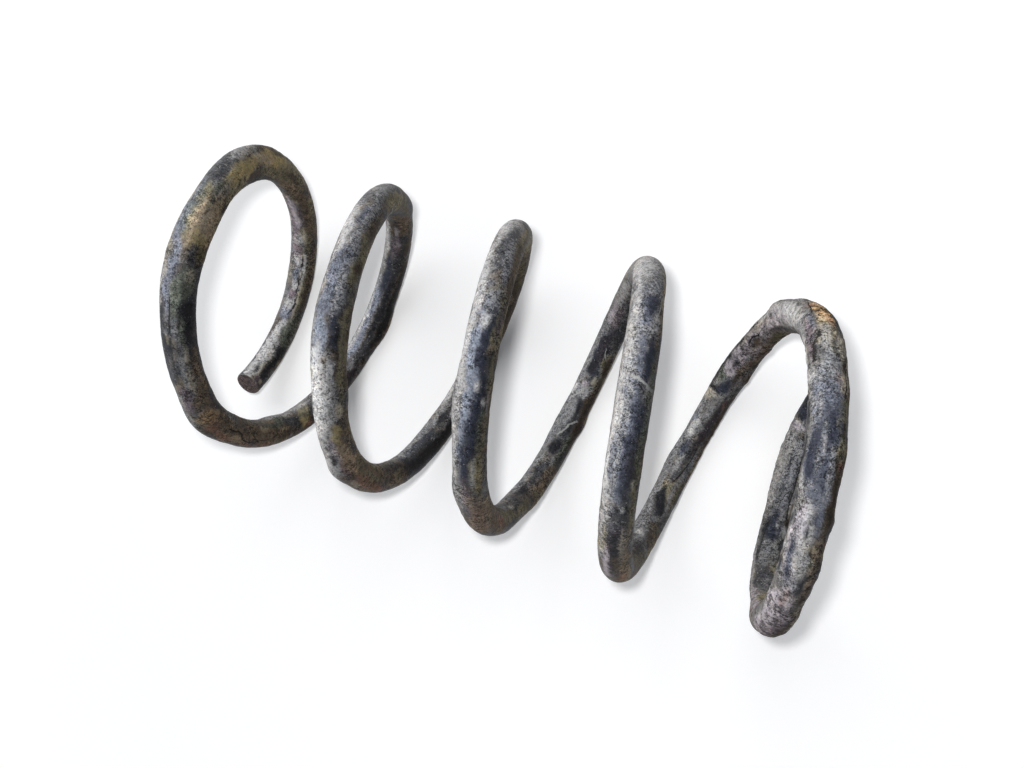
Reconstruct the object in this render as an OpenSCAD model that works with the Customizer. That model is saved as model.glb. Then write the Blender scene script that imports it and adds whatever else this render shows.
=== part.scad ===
// Compression coil spring of the kind fitted to a vehicle's suspension.
// It is one bar of round spring steel, wound right-handed and sheared off square at both tips.
// The spring lies on its side with its axis along X, as it comes to rest on a bench, and z = 0
// is the bench. Lengths are millimetres, and lengths along the coil are counted in turns.

/* [Bar] */
// Diameter of the bar over its coating
wire_d = 13; // [9:0.5:16]
// Bevel round the face of each sheared tip
tip_bevel = 0.8; // [0.2:0.1:2]

/* [Coil] */
// Mean diameter of the coil, from bar centre to bar centre
coil_d = 120; // [80:1:160]
// Turns from tip to tip
turns = 5.25; // [4.25:0.25:8]
// Rise of the middle coils, per turn
body_pitch = 57; // [40:1:75]

/* [Seats] */
// Rise of both end seats, per turn
seat_pitch = 13; // [6:1:20]
// Turns of the left seat
left_seat_turns = 0.35; // [0.1:0.05:0.6]
// Turns of the right seat
right_seat_turns = 0.25; // [0.1:0.05:0.6]

/* [Left end gap] */
// Rise of the first open coil, per turn
left_pitch = 67; // [40:1:90]
// Turns over which the left seat opens to that rise
left_ramp_turns = 0.35; // [0.1:0.05:0.6]
// Turns that the first open coil keeps its rise
left_open_turns = 0.45; // [0.1:0.05:0.8]
// Turns over which it eases to the middle coils
left_easing_turns = 0.8; // [0.1:0.05:0.9]

/* [Right end gap] */
// Rise of the last open coil, per turn
right_pitch = 74; // [40:1:90]
// Turns over which the middle coils ease to that rise
right_easing_turns = 0.3; // [0.1:0.05:0.6]
// Turns that the last open coil keeps its rise
right_open_turns = 0.25; // [0.1:0.05:0.6]
// Turns over which it closes to the right seat
right_ramp_turns = 0.6; // [0.1:0.05:0.8]

/* [Smoothness] */
// Straight steps round each turn, a multiple of four that leaves one lying flat on the bench
steps_per_turn = 60; // [28:8:60]
// Sides of the bar's section
bar_sides = 18; // [8:2:18]

/* [Hidden] */

wire_r = wire_d / 2;
coil_r = coil_d / 2;

// Stretches of the coil from the left tip on: [turns, rise per turn at the end of the stretch]
left_stretches = [
    [left_seat_turns, seat_pitch],
    [left_ramp_turns, left_pitch],
    [left_open_turns, left_pitch],
    [left_easing_turns, body_pitch]
];
right_stretches = [
    [right_easing_turns, right_pitch],
    [right_open_turns, right_pitch],
    [right_ramp_turns, seat_pitch],
    [right_seat_turns, seat_pitch]
];
function sum_turns(list, i = 0) = i == len(list) ? 0 : list[i][0] + sum_turns(list, i + 1);
body_turns = turns - sum_turns(left_stretches) - sum_turns(right_stretches);
stretches = concat(left_stretches, [[body_turns, body_pitch]], right_stretches);

// Stations between the stretches: [turns from the left tip, rise per turn, distance along the axis]
function next_station(from, stretch) = [
    from[0] + stretch[0],
    stretch[1],
    from[2] + stretch[0] * (from[1] + stretch[1]) / 2
];
stations = [
    for (i = 0, at = [0, seat_pitch, 0];
         i <= len(stretches);
         at = i < len(stretches) ? next_station(at, stretches[i]) : at, i = i + 1)
        at
];
axis_length = stations[len(stretches)][2];

// Number of the stretch that holds a turn, and the rise and the place along the axis there
function stretch_at(t, i = 0) =
    i == len(stretches) - 1 || t < stations[i + 1][0] ? i : stretch_at(t, i + 1);
function pitch_at(t, i) =
    stations[i][1] + (stretches[i][1] - stations[i][1]) * (t - stations[i][0]) / stretches[i][0];
function along_at(t, i) =
    stations[i][2] + (t - stations[i][0]) * (stations[i][1] + pitch_at(t, i)) / 2;

// The spare part of a turn hangs at the bottom, where its weight holds the spring still
spare_angle = 360 * (turns - floor(turns));
function angle_at(t) = 360 * t - spare_angle / 2;

// The bar's lowest edges lie on the bench
axis_height = (coil_r + wire_r) * cos(180 / steps_per_turn);

// Steps along the bar, with one more ring inside each tip to make the bevel
steps = round(turns * steps_per_turn);
turn_length = norm([PI * coil_d, seat_pitch]);
bevel_turns = tip_bevel / turn_length;
// Rings of the bar: [turns from the left tip, radius]
rings = concat(
    [[0, wire_r - tip_bevel], [bevel_turns, wire_r]],
    [for (i = [1 : steps - 1]) [turns * i / steps, wire_r]],
    [[turns - bevel_turns, wire_r], [turns, wire_r - tip_bevel]]
);

// One ring of points square to the bar, its first point facing out from the coil
function ring_points(t, r) =
    let (
        i = stretch_at(t),
        a = angle_at(t),
        outward = [0, sin(a), -cos(a)],
        centre = [along_at(t, i) - axis_length / 2, 0, axis_height] + coil_r * outward,
        forward = [pitch_at(t, i), PI * coil_d * cos(a), PI * coil_d * sin(a)],
        across = cross(forward / norm(forward), outward)
    )
    [for (j = [0 : bar_sides - 1])
        let (u = 360 * j / bar_sides)
        centre + r * (cos(u) * outward + sin(u) * across)];

// Two triangles for each side between one ring and the next
function side_faces(k) = [
    for (j = [0 : bar_sides - 1])
        let (a = k * bar_sides + j, b = k * bar_sides + (j + 1) % bar_sides)
        for (face = [[a, b, b + bar_sides], [a, b + bar_sides, a + bar_sides]])
            face
];

// The bar, swept along the coil from tip to tip
module coil_spring() {
    last = len(rings) - 1;
    color([0.24, 0.25, 0.30])
        polyhedron(
            points = [for (ring = rings) each ring_points(ring[0], ring[1])],
            faces = concat(
                [[for (j = [bar_sides - 1 : -1 : 0]) j]],
                [for (k = [0 : last - 1]) each side_faces(k)],
                [[for (j = [0 : bar_sides - 1]) last * bar_sides + j]]
            ),
            convexity = 12
        );
}

coil_spring();
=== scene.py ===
import math

import bmesh
import bpy
import numpy as np
from mathutils import Euler, Matrix, Vector, noise


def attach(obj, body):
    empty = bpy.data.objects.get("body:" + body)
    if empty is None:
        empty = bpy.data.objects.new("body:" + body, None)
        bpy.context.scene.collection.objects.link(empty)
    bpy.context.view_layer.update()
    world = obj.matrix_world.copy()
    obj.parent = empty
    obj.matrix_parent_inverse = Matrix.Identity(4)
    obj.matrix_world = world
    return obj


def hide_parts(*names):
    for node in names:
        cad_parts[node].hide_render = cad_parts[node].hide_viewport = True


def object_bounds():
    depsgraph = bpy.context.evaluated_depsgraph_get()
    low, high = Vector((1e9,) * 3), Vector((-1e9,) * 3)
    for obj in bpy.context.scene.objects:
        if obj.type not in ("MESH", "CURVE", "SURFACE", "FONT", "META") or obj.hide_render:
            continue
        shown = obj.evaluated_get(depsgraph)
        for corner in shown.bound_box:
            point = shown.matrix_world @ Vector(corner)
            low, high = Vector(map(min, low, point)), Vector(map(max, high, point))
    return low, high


# A used coil spring: one bar of round spring steel under old navy paint, chalky dust, dried mud
# and a little rust. It lies on its side on a pale floor. Sizes are metres, in the CAD frame.

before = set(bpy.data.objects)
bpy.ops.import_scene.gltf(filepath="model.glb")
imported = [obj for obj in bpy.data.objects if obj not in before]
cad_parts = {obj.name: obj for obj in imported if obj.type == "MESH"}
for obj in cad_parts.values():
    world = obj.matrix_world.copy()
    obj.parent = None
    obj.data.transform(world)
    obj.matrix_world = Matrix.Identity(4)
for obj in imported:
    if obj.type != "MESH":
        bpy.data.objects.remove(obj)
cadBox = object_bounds()
lowCorner, highCorner = cadBox
print("frame loaded")


# The bar

bar = {
    "across": 0.0129,        # over the dirt, just inside the CAD bar
    "coilAcross": 0.120,     # mean diameter of the coil
    "turns": 5.25,
    "sides": 48,             # round the bar
    "spinSteps": 340,        # along it
    "cuts": 5,               # finer rings between one step and the next
    "startRise": 0.013,      # rise per turn at the left tip
    "stretches": [           # turns of each stretch, rise per turn at its end
        (0.35, 0.013), (0.35, 0.067), (0.45, 0.067), (0.80, 0.057),
        (1.90, 0.057), (0.30, 0.074), (0.25, 0.074), (0.60, 0.013), (0.25, 0.013),
    ],
    "usualRise": 0.055,      # rise per turn that lengths on the bar are measured with
    "rimBevel": 0.0004,      # round the edge of each sheared tip
    "rimSegments": 3,
    "faceRings": (0.0012, 0.0012, 0.0012),   # insets across the sheared face
    "tipTurns": 0.004,       # turns at each tip that the face and its bevel may take
}

coilRadius = bar["coilAcross"] / 2
barRadius = bar["across"] / 2
axisHeight = (lowCorner.z + highCorner.z) / 2
startAngle = -180.0 * (bar["turns"] % 1.0)      # degrees from the bottom of the coil


def axisStations():
    # turns, rise per turn and distance along the axis where the stretches meet
    turns, rises, places = [0.0], [bar["startRise"]], [0.0]
    for length, rise in bar["stretches"]:
        places.append(places[-1] + length * (rises[-1] + rise) / 2)
        turns.append(turns[-1] + length)
        rises.append(rise)
    return np.array(turns), np.array(rises), np.array(places)


stationTurns, stationRises, stationPlaces = axisStations()
lastTurn = bar["turns"]


def placeAlong(turn):
    # distance along the axis from the middle of the spring, and the rise there
    t = np.clip(turn, 0.0, lastTurn)
    rise = np.interp(t, stationTurns, stationRises)
    i = np.clip(np.searchsorted(stationTurns, t, side="right") - 1, 0, len(stationTurns) - 2)
    place = stationPlaces[i] + (t - stationTurns[i]) * (stationRises[i] + rise) / 2
    place = place + (turn - t) * rise
    return place - stationPlaces[-1] / 2, rise


def coilBar():
    # the bar as an even coil: a circle spun along, tips filled, ringed and bevelled
    bm = bmesh.new()
    rise = stationPlaces[-1] / lastTurn
    out = Matrix.Translation((-stationPlaces[-1] / 2, 0.0, axisHeight))
    out = out @ Matrix.Rotation(math.radians(startAngle), 4, "X")
    out = out @ Matrix.Translation((0.0, 0.0, -coilRadius)) @ Matrix.Rotation(math.radians(-90), 4, "X")
    bmesh.ops.create_circle(bm, cap_ends=False, radius=barRadius, segments=bar["sides"], matrix=out)
    around = bm.verts.layers.float.new("around")
    inward = out.inverted()
    for v in bm.verts:
        flat = inward @ v.co
        v[around] = math.degrees(math.atan2(-flat.x, flat.y)) % 360.0
    bmesh.ops.spin(
        bm, geom=bm.verts[:] + bm.edges[:], cent=(0.0, 0.0, axisHeight), axis=(1.0, 0.0, 0.0),
        dvec=(rise * lastTurn / bar["spinSteps"], 0.0, 0.0), angle=math.radians(360 * lastTurn),
        steps=bar["spinSteps"], use_duplicate=False)
    sameSide = 0.01    # degrees within which both ends of an edge count as one line along the bar
    lengthwise = [e for e in bm.edges if abs(e.verts[0][around] - e.verts[1][around]) < sameSide]
    bmesh.ops.subdivide_edges(bm, edges=lengthwise, cuts=bar["cuts"], use_grid_fill=True)
    rims = [e for e in bm.edges if e.is_boundary]
    faces = bmesh.ops.edgeloop_fill(bm, edges=rims)["faces"]
    bmesh.ops.recalc_face_normals(bm, faces=bm.faces[:])
    rims = [e for f in faces for e in f.edges]
    for width in bar["faceRings"]:
        bmesh.ops.inset_individual(bm, faces=faces, thickness=width, use_even_offset=True)
    bmesh.ops.bevel(
        bm, geom=rims, offset=bar["rimBevel"], offset_type="OFFSET", segments=bar["rimSegments"],
        profile=0.5, affect="EDGES", material=-1, clamp_overlap=True)
    bmesh.ops.triangulate(bm, faces=[f for f in bm.faces if len(f.verts) > 4])
    mesh = bpy.data.meshes.new("springBar")
    bm.to_mesh(mesh)
    bm.free()
    return mesh, rise


def barPlaces(mesh, rise):
    # each vertex of the even coil as turns from the left tip, degrees round the bar from its
    # outer side, and distance from the bar's centre
    co = np.empty(len(mesh.vertices) * 3)
    mesh.vertices.foreach_get("co", co)
    co = co.reshape(-1, 3)
    y, z = co[:, 1], co[:, 2] - axisHeight
    angle = np.degrees(np.arctan2(y, -z))
    base = (angle - startAngle) / 360.0
    x = co[:, 0] + stationPlaces[-1] / 2
    whole = np.round(x / rise - base)
    turn = base + whole
    across = -(x - turn * rise)
    outward = np.hypot(y, z) - coilRadius
    around = np.degrees(np.arctan2(across, outward)) % 360.0
    radius = np.hypot(across, outward)
    # away from the tips the ring's own numbers are exact, where the straight steps cut corners
    kept = np.empty(len(mesh.vertices), np.float32)
    mesh.attributes["around"].data.foreach_get("value", kept)
    along = (x + barRadius * np.sin(np.radians(kept))) / rise
    middle = (turn > bar["tipTurns"]) & (turn < lastTurn - bar["tipTurns"])
    turn = np.where(middle, along, turn)
    return turn, np.where(middle, kept, around), np.where(middle, barRadius, radius)


def placeOnCoil(turn, around, radius):
    # the real coil: uneven rise, and the bar's section square to its run
    place, rise = placeAlong(turn)
    a = np.radians(360.0 * turn + startAngle)
    u = np.radians(around)
    zero = np.zeros_like(a)
    outward = np.stack([zero, np.sin(a), -np.cos(a)], 1)
    forward = np.stack([rise / (math.pi * bar["coilAcross"]), np.cos(a), np.sin(a)], 1)
    forward /= np.linalg.norm(forward, axis=1)[:, None]
    across = np.cross(forward, outward)
    centre = np.stack([place, zero, zero + axisHeight], 1) + coilRadius * outward
    return centre + radius[:, None] * (np.cos(u)[:, None] * outward + np.sin(u)[:, None] * across)


mesh, evenRise = coilBar()
turn, around, radius = barPlaces(mesh, evenRise)
plainPlace = placeOnCoil(turn, around, radius)
print("bar spun:", len(mesh.vertices), "points")


# What the eye sees on the bar is painted stroke over stroke, on top of a plain mottled coat.
# Finishes are red, green and blue as on a screen, then how many pale and dark specks they carry and
# how thick they crust. Strokes are a finish, turns from the left tip, degrees round the bar from its
# outer side, half length in turns, half width in degrees and, where it isn't full, the strength.

finishes = {
    "white": (222, 221, 219, 0.10, 0.35, 0.5), "cream": (208, 200, 182, 0.15, 0.35, 0.6),
    "pale": (177, 176, 176, 0.30, 0.35, 0.4), "grey": (132, 133, 136, 0.30, 0.35, 0.3),
    "dark": (74, 75, 78, 0.22, 0.30, 0.2), "black": (42, 43, 47, 0.12, 0.15, 0.0),
    "soot": (30, 30, 31, 0.06, 0.10, 0.1), "navy": (52, 55, 66, 0.14, 0.16, 0.0),
    "slate": (100, 104, 115, 0.20, 0.22, 0.1), "blue": (119, 125, 137, 0.14, 0.16, 0.05),
    "lilac": (180, 173, 179, 0.18, 0.25, 0.6), "mauve": (111, 102, 107, 0.18, 0.25, 0.4),
    "plum": (58, 53, 56, 0.16, 0.25, 0.2), "brown": (120, 109, 96, 0.12, 0.20, 0.5),
    "umber": (80, 71, 61, 0.10, 0.25, 0.3), "soil": (45, 40, 35, 0.06, 0.20, 0.3),
    "olive": (131, 126, 106, 0.16, 0.22, 0.4), "moss": (96, 91, 71, 0.12, 0.20, 0.3),
    "green": (101, 106, 97, 0.22, 0.35, 0.3), "ochre": (188, 173, 130, 0.14, 0.20, 0.5),
    "tan": (178, 162, 138, 0.20, 0.25, 0.6), "rust": (168, 134, 95, 0.10, 0.25, 0.7),
    "red": (141, 109, 95, 0.12, 0.20, 0.5), "mixed": (126, 128, 134, 0.45, 0.42, 0.3),
    "sheared": (70, 60, 60, 0.20, 0.30, 0.4), "dust": (122, 121, 120, 0.12, 0.14, 0.3),
}

strokes = [
    # left seat
    ("dark", 0.1, 148, 0.13, 30, 0.4), ("pale", 0.05, 180, 0.05, 28), ("pale", 0.09, 190, 0.03, 22),
    ("slate", 0.125, 185, 0.018, 28), ("blue", 0.125, 190, 0.01, 14, 0.6),
    ("pale", 0.14, 182, 0.012, 22), ("mauve", 0.155, 180, 0.009, 22), ("pale", 0.17, 184, 0.008, 20),
    ("slate", 0.188, 182, 0.014, 20), ("pale", 0.211, 182, 0.008, 18), ("mauve", 0.228, 178, 0.012, 26),
    ("pale", 0.25, 180, 0.01, 22), ("mauve", 0.28, 165, 0.04, 25), ("lilac", 0.3, 182, 0.035, 16),
    ("black", 0.07, 243, 0.06, 22), ("dark", 0.12, 245, 0.03, 22, 0.6), ("green", 0.1, 238, 0.03, 26),
    ("cream", 0.155, 216, 0.035, 7), ("olive", 0.17, 226, 0.04, 9), ("white", 0.2, 213, 0.02, 7),
    ("olive", 0.25, 222, 0.025, 18), ("cream", 0.255, 212, 0.012, 8), ("brown", 0.19, 248, 0.05, 16),
    ("umber", 0.165, 250, 0.03, 9), ("brown", 0.3, 235, 0.05, 22), ("brown", 0.285, 222, 0.02, 9),
    ("mauve", 0.29, 205, 0.02, 10), ("cream", 0.322, 209, 0.008, 4), ("dark", 0.018, 197, 0.01, 10),
    ("cream", 0.008, 205, 0.003, 6), ("cream", 0.018, 214, 0.009, 4), ("cream", 0.03, 208, 0.004, 6),
    ("mauve", 0.006, 235, 0.006, 28), ("cream", 0.007, 251, 0.003, 6),
    # first ring, up its front
    ("brown", 0.355, 215, 0.04, 35), ("tan", 0.36, 220, 0.035, 30, 0.4),
    ("olive", 0.385, 285, 0.05, 45), ("olive", 0.4, 255, 0.06, 25), ("umber", 0.375, 262, 0.02, 14),
    ("ochre", 0.43, 315, 0.035, 32), ("tan", 0.445, 312, 0.025, 20, 0.7),
    ("cream", 0.455, 318, 0.014, 16, 0.5), ("cream", 0.438, 290, 0.004, 5),
    ("moss", 0.4, 330, 0.02, 14), ("umber", 0.47, 252, 0.015, 14), ("ochre", 0.49, 300, 0.03, 35),
    ("ochre", 0.485, 300, 0.014, 16), ("olive", 0.525, 262, 0.035, 22), ("soil", 0.545, 252, 0.01, 14),
    ("ochre", 0.51, 318, 0.015, 10), ("cream", 0.53, 306, 0.014, 8, 0.7),
    ("green", 0.545, 322, 0.025, 10), ("tan", 0.58, 288, 0.025, 22), ("cream", 0.572, 300, 0.014, 9),
    ("umber", 0.568, 310, 0.006, 4), ("ochre", 0.595, 305, 0.01, 30), ("tan", 0.575, 330, 0.03, 12),
    ("moss", 0.607, 272, 0.008, 22), ("dark", 0.5, 20, 0.05, 30), ("pale", 0.475, 2, 0.018, 22, 0.6),
    ("dark", 0.513, 358, 0.016, 20), ("slate", 0.57, 20, 0.04, 28), ("green", 0.56, 10, 0.03, 18, 0.5),
    ("tan", 0.565, 288, 0.03, 28, 0.6), ("blue", 0.612, 2, 0.014, 14), ("slate", 0.635, 8, 0.03, 20),
    ("dark", 0.612, 306, 0.011, 18), ("green", 0.638, 300, 0.018, 32),
    ("cream", 0.632, 296, 0.006, 14, 0.6), ("green", 0.655, 335, 0.015, 16),
    ("black", 0.672, 290, 0.022, 34), ("green", 0.685, 314, 0.015, 10), ("black", 0.7, 30, 0.05, 24),
    ("black", 0.695, 354, 0.035, 6), ("dark", 0.72, 15, 0.02, 14, 0.6), ("brown", 0.735, 275, 0.03, 18),
    ("cream", 0.708, 312, 0.01, 11, 0.8), ("cream", 0.737, 308, 0.013, 12, 0.8),
    ("grey", 0.725, 325, 0.025, 10), ("brown", 0.76, 290, 0.012, 35), ("mauve", 0.755, 345, 0.015, 18),
    # over its foot and back up
    ("tan", 0.786, 308, 0.016, 42, 0.8), ("rust", 0.784, 315, 0.012, 30, 0.45),
    ("tan", 0.81, 325, 0.018, 22, 0.5), ("red", 0.815, 312, 0.025, 35, 0.8),
    ("brown", 0.83, 275, 0.035, 30), ("tan", 0.84, 300, 0.012, 16), ("red", 0.862, 318, 0.012, 12),
    ("red", 0.89, 300, 0.015, 12, 0.7), ("brown", 0.88, 262, 0.03, 22), ("brown", 0.87, 235, 0.02, 18),
    ("tan", 0.885, 234, 0.01, 10), ("cream", 0.884, 228, 0.005, 7), ("umber", 0.93, 270, 0.02, 14),
    ("brown", 0.91, 250, 0.02, 12), ("tan", 0.927, 243, 0.007, 6), ("green", 0.92, 212, 0.03, 20),
    ("brown", 0.905, 200, 0.01, 12), ("grey", 0.925, 175, 0.03, 12), ("dark", 0.945, 225, 0.012, 22),
    ("ochre", 0.965, 240, 0.007, 24), ("red", 0.97, 268, 0.005, 12), ("olive", 0.972, 200, 0.01, 26),
    ("pale", 0.972, 172, 0.014, 12, 0.7), ("grey", 1.17, 135, 0.09, 24), ("pale", 1.3, 145, 0.04, 18),
    ("pale", 1.13, 148, 0.06, 18, 0.7), ("slate", 1.14, 172, 0.08, 16),
    ("blue", 1.1, 172, 0.02, 14, 0.7), ("grey", 1.083, 205, 0.01, 10), ("white", 1.156, 160, 0.003, 6),
    ("blue", 1.19, 160, 0.014, 16), ("black", 1.17, 208, 0.08, 16), ("dark", 1.11, 225, 0.03, 20),
    ("plum", 1.06, 235, 0.02, 28), ("soil", 1.17, 252, 0.06, 22), ("black", 1.18, 240, 0.05, 12),
    ("soot", 1.19, 256, 0.08, 22, 0.8), ("navy", 1.235, 182, 0.045, 18), ("dark", 1.26, 215, 0.03, 25),
    ("mauve", 1.29, 198, 0.025, 18), ("umber", 1.285, 245, 0.02, 14), ("lilac", 1.292, 200, 0.005, 10),
    ("lilac", 1.325, 190, 0.012, 9),
    # second ring
    ("brown", 1.345, 225, 0.03, 28), ("umber", 1.32, 250, 0.02, 10), ("brown", 1.37, 205, 0.02, 14),
    ("moss", 1.4, 260, 0.035, 30), ("umber", 1.4, 256, 0.03, 22, 0.4), ("olive", 1.45, 295, 0.035, 35),
    ("grey", 1.46, 345, 0.03, 25), ("dark", 1.485, 30, 0.02, 25), ("mixed", 1.505, 330, 0.028, 22),
    ("pale", 1.53, 30, 0.04, 28), ("slate", 1.515, 350, 0.015, 12), ("mixed", 1.545, 335, 0.015, 18),
    ("umber", 1.525, 285, 0.015, 16), ("olive", 1.57, 298, 0.03, 22), ("umber", 1.576, 288, 0.008, 16),
    ("mixed", 1.59, 335, 0.04, 20), ("slate", 1.6, 15, 0.045, 25), ("slate", 1.575, 0, 0.018, 26),
    ("dark", 1.567, 352, 0.007, 14, 0.6), ("blue", 1.645, 15, 0.018, 28),
    ("navy", 1.642, 321, 0.02, 20), ("black", 1.643, 318, 0.012, 11), ("pale", 1.71, 10, 0.04, 45),
    ("white", 1.7, 28, 0.045, 30, 0.7), ("olive", 1.66, 288, 0.05, 20), ("pale", 1.685, 330, 0.02, 16),
    ("umber", 1.675, 266, 0.01, 8), ("cream", 1.712, 305, 0.008, 16), ("tan", 1.775, 300, 0.03, 40),
    ("ochre", 1.737, 316, 0.01, 15, 0.9), ("lilac", 1.765, 338, 0.025, 16, 0.6),
    ("mauve", 1.81, 328, 0.035, 26, 0.7), ("pale", 1.78, 15, 0.03, 30), ("plum", 1.771, 356, 0.007, 14),
    ("red", 1.82, 305, 0.06, 32, 0.25), ("umber", 1.803, 316, 0.006, 9),
    ("cream", 1.822, 332, 0.009, 14, 0.8), ("brown", 1.83, 250, 0.035, 20),
    ("olive", 1.84, 262, 0.02, 10), ("red", 1.845, 300, 0.035, 26, 0.6),
    ("brown", 1.89, 272, 0.015, 14), ("black", 1.895, 210, 0.025, 20, 0.7),
    ("black", 1.97, 212, 0.06, 32, 0.6), ("soot", 2.0, 238, 0.09, 26, 0.8),
    ("grey", 1.98, 145, 0.07, 20), ("slate", 1.96, 180, 0.04, 10, 0.7), ("navy", 2.0, 178, 0.02, 9),
    ("black", 2.04, 178, 0.02, 16), ("grey", 1.94, 180, 0.003, 6), ("grey", 2.002, 208, 0.003, 7),
    ("dark", 1.99, 192, 0.07, 14, 0.5), ("pale", 2.052, 203, 0.003, 6), ("pale", 2.08, 135, 0.02, 16),
    ("soot", 2.03, 232, 0.03, 20), ("umber", 2.26, 245, 0.08, 30), ("moss", 2.31, 235, 0.04, 14),
    ("soot", 2.27, 262, 0.06, 9),
    # third ring
    ("olive", 2.465, 302, 0.035, 24), ("cream", 2.465, 312, 0.014, 9, 0.7),
    ("pale", 2.455, 10, 0.025, 45), ("dark", 2.49, 350, 0.035, 26), ("umber", 2.49, 292, 0.05, 14, 0.8),
    ("mixed", 2.505, 330, 0.02, 16), ("dark", 2.495, 352, 0.02, 12, 0.7),
    ("brown", 2.82, 268, 0.045, 42, 0.8), ("tan", 2.79, 300, 0.03, 28, 0.5),
    ("navy", 2.535, 325, 0.008, 9, 0.8), ("mixed", 2.53, 325, 0.025, 16), ("pale", 2.56, 45, 0.08, 22),
    ("dark", 2.575, 60, 0.006, 5), ("umber", 2.53, 288, 0.07, 12, 0.8),
    ("brown", 2.52, 290, 0.02, 14, 0.5), ("umber", 2.55, 294, 0.01, 12),
    ("mauve", 2.585, 300, 0.015, 10), ("mixed", 2.58, 340, 0.025, 18), ("blue", 2.64, 6, 0.08, 18),
    ("navy", 2.61, 335, 0.034, 22), ("navy", 2.672, 330, 0.048, 24),
    ("navy", 2.69, 355, 0.024, 18, 0.4), ("white", 2.588, 357, 0.007, 17, 0.8),
    ("green", 2.68, 311, 0.02, 8), ("white", 2.645, 342, 0.003, 8), ("white", 2.659, 313, 0.004, 9),
    ("pale", 2.67, 44, 0.08, 20, 0.5), ("olive", 2.65, 290, 0.05, 10), ("lilac", 2.66, 291, 0.008, 5),
    ("olive", 2.73, 302, 0.03, 22, 0.8), ("ochre", 2.735, 306, 0.02, 12, 0.5),
    ("white", 2.73, 325, 0.014, 5, 0.7), ("navy", 2.722, 350, 0.016, 17),
    ("plum", 2.744, 352, 0.012, 14, 0.8), ("tan", 2.78, 305, 0.02, 26, 0.6),
    ("tan", 2.815, 322, 0.018, 26), ("red", 2.81, 322, 0.01, 14, 0.5),
    ("mauve", 2.77, 355, 0.03, 18, 0.8), ("mauve", 2.8, 326, 0.04, 34, 0.6),
    ("tan", 2.79, 335, 0.04, 34, 0.4), ("red", 2.8, 332, 0.03, 26, 0.3),
    ("brown", 2.845, 268, 0.025, 32), ("red", 2.845, 255, 0.014, 14, 0.7),
    ("olive", 2.88, 228, 0.025, 24), ("dark", 2.9, 186, 0.04, 20, 0.7), ("grey", 2.885, 200, 0.015, 10),
    ("white", 2.903, 203, 0.006, 8), ("umber", 2.955, 175, 0.018, 18), ("plum", 2.958, 174, 0.02, 20),
    ("black", 2.956, 180, 0.014, 12), ("grey", 2.98, 135, 0.06, 24), ("olive", 2.925, 232, 0.025, 18),
    ("dark", 3.005, 186, 0.03, 24), ("brown", 2.99, 230, 0.015, 16), ("tan", 2.987, 228, 0.006, 8, 0.6),
    # between the third and the fourth
    ("grey", 3.15, 128, 0.15, 24), ("dark", 3.12, 185, 0.08, 24), ("pale", 3.03, 205, 0.008, 10),
    ("black", 3.053, 178, 0.01, 22), ("grey", 3.105, 164, 0.025, 14), ("black", 3.085, 199, 0.009, 6),
    ("black", 3.118, 190, 0.018, 9), ("grey", 3.14, 165, 0.01, 34),
    ("white", 3.143, 122, 0.008, 16, 0.8), ("pale", 3.142, 188, 0.008, 20, 0.8),
    ("lilac", 3.155, 170, 0.006, 12), ("cream", 3.165, 196, 0.006, 10, 0.7),
    ("green", 3.055, 222, 0.03, 16), ("umber", 3.12, 232, 0.05, 22), ("brown", 3.155, 222, 0.012, 9),
    ("red", 3.105, 240, 0.008, 9, 0.6), ("umber", 3.185, 232, 0.02, 18),
    ("soil", 3.12, 236, 0.08, 12, 0.6), ("navy", 3.21, 172, 0.045, 28),
    ("plum", 3.215, 178, 0.035, 22, 0.7), ("black", 3.185, 165, 0.012, 18),
    ("mauve", 3.275, 167, 0.025, 18), ("dark", 3.245, 205, 0.03, 20), ("lilac", 3.28, 130, 0.025, 20),
    ("pale", 3.33, 140, 0.03, 22),
    # fourth ring
    ("pale", 3.45, 10, 0.035, 60), ("olive", 3.49, 312, 0.04, 13), ("tan", 3.5, 305, 0.012, 6),
    ("mixed", 3.5, 345, 0.03, 20), ("mixed", 3.54, 0, 0.03, 22), ("pale", 3.545, 5, 0.025, 20, 0.5),
    ("slate", 3.527, 6, 0.02, 26), ("navy", 3.522, 346, 0.013, 22), ("dark", 3.523, 324, 0.01, 8),
    ("brown", 3.82, 322, 0.035, 40, 0.85), ("mixed", 3.545, 325, 0.015, 10),
    ("pale", 3.54, 325, 0.004, 10), ("pale", 3.553, 328, 0.005, 10), ("navy", 3.578, 334, 0.022, 18),
    ("slate", 3.578, 3, 0.024, 14), ("slate", 3.655, 6, 0.065, 20),
    ("navy", 3.655, 343, 0.058, 22, 0.85), ("green", 3.63, 307, 0.05, 13),
    ("olive", 3.71, 303, 0.04, 14), ("cream", 3.685, 316, 0.003, 5), ("pale", 3.6, 45, 0.16, 22, 0.75),
    ("white", 3.66, 60, 0.05, 12, 0.6), ("slate", 3.668, 38, 0.018, 16, 0.8),
    ("white", 3.63, 24, 0.01, 14, 0.8), ("slate", 3.609, 28, 0.006, 10), ("mixed", 3.62, 20, 0.1, 9),
    ("dark", 3.72, 338, 0.025, 16), ("mauve", 3.76, 350, 0.035, 22), ("plum", 3.775, 352, 0.04, 20),
    ("black", 3.758, 346, 0.024, 12), ("navy", 3.735, 8, 0.014, 12, 0.7),
    ("dark", 3.715, 352, 0.014, 18), ("pale", 3.709, 340, 0.003, 8), ("tan", 3.8, 302, 0.05, 22, 0.7),
    ("red", 3.82, 316, 0.014, 16, 0.6), ("cream", 3.75, 327, 0.014, 4),
    ("umber", 3.785, 340, 0.015, 12), ("lilac", 3.79, 18, 0.03, 12), ("moss", 3.89, 238, 0.035, 24),
    ("umber", 3.89, 242, 0.03, 20, 0.5), ("plum", 3.905, 205, 0.018, 11), ("grey", 3.96, 175, 0.03, 20),
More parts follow.
